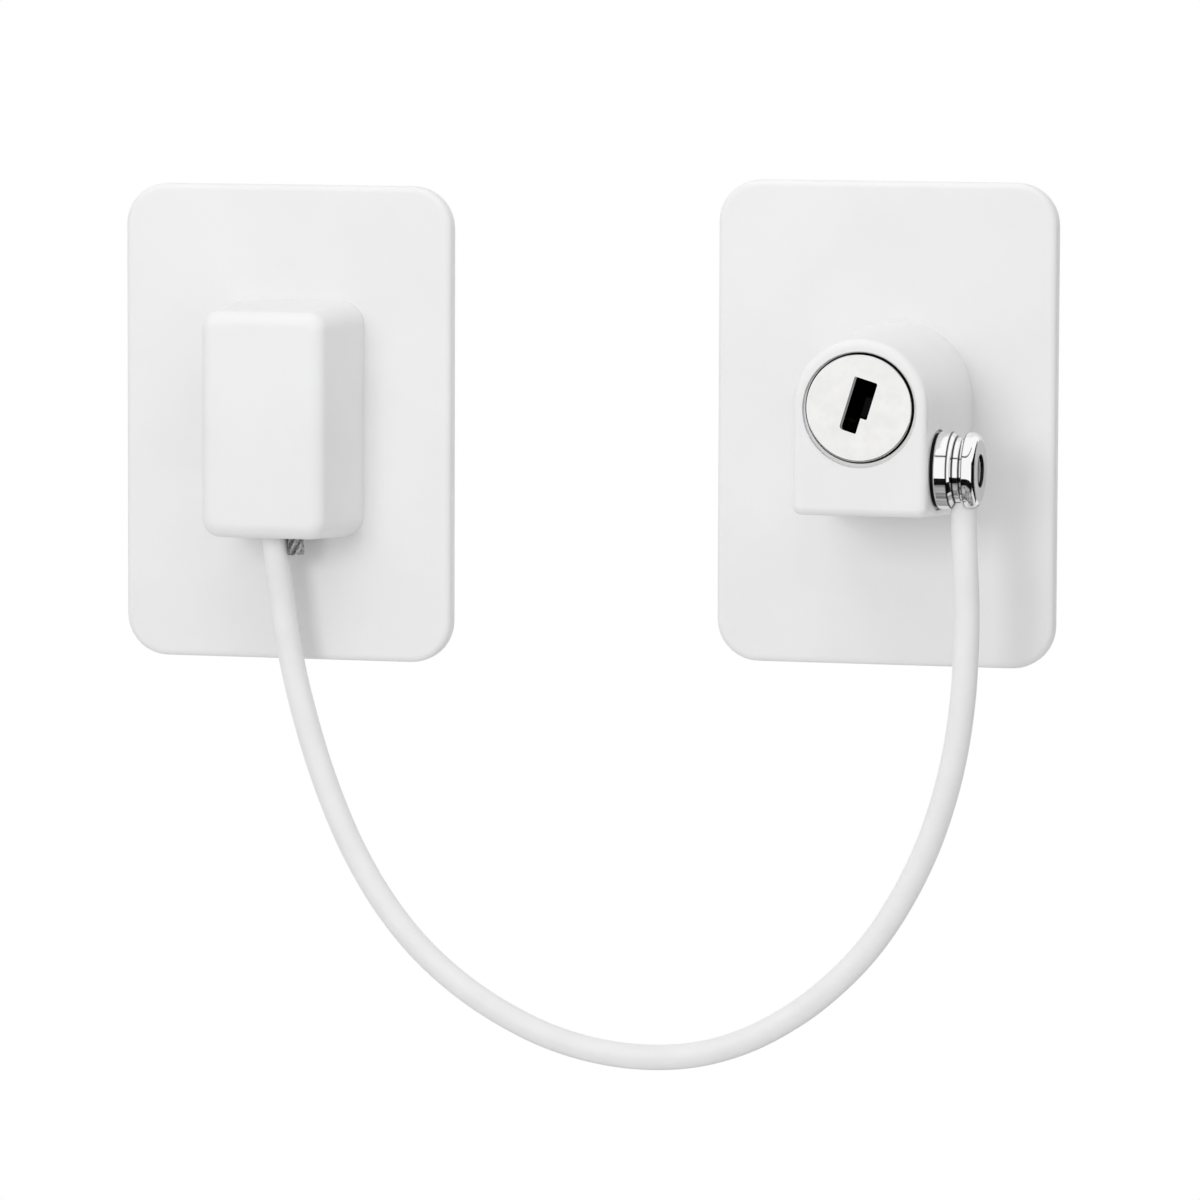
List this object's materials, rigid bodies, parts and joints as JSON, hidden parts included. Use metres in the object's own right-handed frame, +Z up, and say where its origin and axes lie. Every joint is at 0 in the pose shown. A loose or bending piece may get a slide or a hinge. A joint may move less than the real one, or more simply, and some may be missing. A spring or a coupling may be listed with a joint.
{
  "type": "cabinet safety lock",
  "caption": "Child safety lock for a cabinet door: adhesive plates joined by a coated steel cable, with a closed anchor block at one end and a key lock with a pull-out pin at the other.",
  "frame": {"origin": "middle of the lock pad's sticky back face, where it meets the door", "axes": "+X to the right along the door from the anchor plate to the lock plate, +Y into the door, +Z up"},
  "size_m": [0.16, 0.0335, 0.147],
  "materials": {
    "white_plastic": "moulded, semi-gloss",
    "white_enamel": "baked enamel on die-cast zinc",
    "foam_tape": "acrylic foam tape",
    "cable_coating": "smooth extruded coating",
    "wire_rope": "galvanised strands",
    "ferrule_aluminium": "pressed",
    "zinc_steel": "zinc plated",
    "spring_steel": "drawn wire",
    "brass": "stamped or turned",
    "satin_nickel": "satin nickel plate",
    "chrome": "polished chrome plate",
    "black_nylon": "moulded"
  },
  "bodies": {
    "lock_base": {"anchor_plate": "white_plastic", "anchor_pad": "foam_tape", "anchor_cover": "white_plastic", "cover_screws": "zinc_steel", "loop_post": "zinc_steel", "wire_eye": "wire_rope", "eye_ferrule": "ferrule_aluminium", "cable_jacket": "cable_coating", "lock_plate": "white_plastic", "lock_pad": "foam_tape", "lock_housing": "white_enamel", "housing_screws": "zinc_steel", "cylinder_sleeve": "brass", "sleeve_dowel": "zinc_steel"},
    "cylinder": {"cylinder_plug": "satin_nickel", "locking_cam": "zinc_steel", "retaining_clip": "zinc_steel", "wafer_spring_1": "spring_steel", "wafer_spring_2": "spring_steel", "wafer_spring_3": "spring_steel", "wafer_spring_4": "spring_steel"},
    "wafers": {"wafer_1": "brass", "wafer_2": "brass", "wafer_3": "brass", "wafer_4": "brass"},
    "knob": {"cable_knob": "chrome", "stud_washer": "black_nylon", "end_crimp": "zinc_steel"},
    "pin": {"locking_pin": "chrome", "knob_screw": "zinc_steel"}
  },
  "joints": [
    {"name": "key_turn", "type": "hinge", "parent": "lock_base", "child": "cylinder", "pos_m": [0.002, -0.033, 0.0046], "axis": [0, 1, 0], "range_deg": [0, 90]},
    {"name": "wafer_lift", "type": "slide", "parent": "cylinder", "child": "wafers", "axis": [0.2924, 0, 0.9563], "range_m": [0, 0.0007], "stiffness_N_per_m": 60, "springref_m": 0.0007, "deforming": ["wafer_spring_1", "wafer_spring_2", "wafer_spring_3", "wafer_spring_4"]},
    {"name": "stud_pull", "type": "slide", "parent": "lock_base", "child": "knob", "axis": [1, 0, 0], "range_m": [0, 0.018], "deforming": ["cable_jacket"]},
    {"name": "pin_spin", "type": "hinge", "parent": "knob", "child": "pin", "pos_m": [0.0137, -0.025, -0.0057], "axis": [1, 0, 0], "continuous": true}
  ]
}
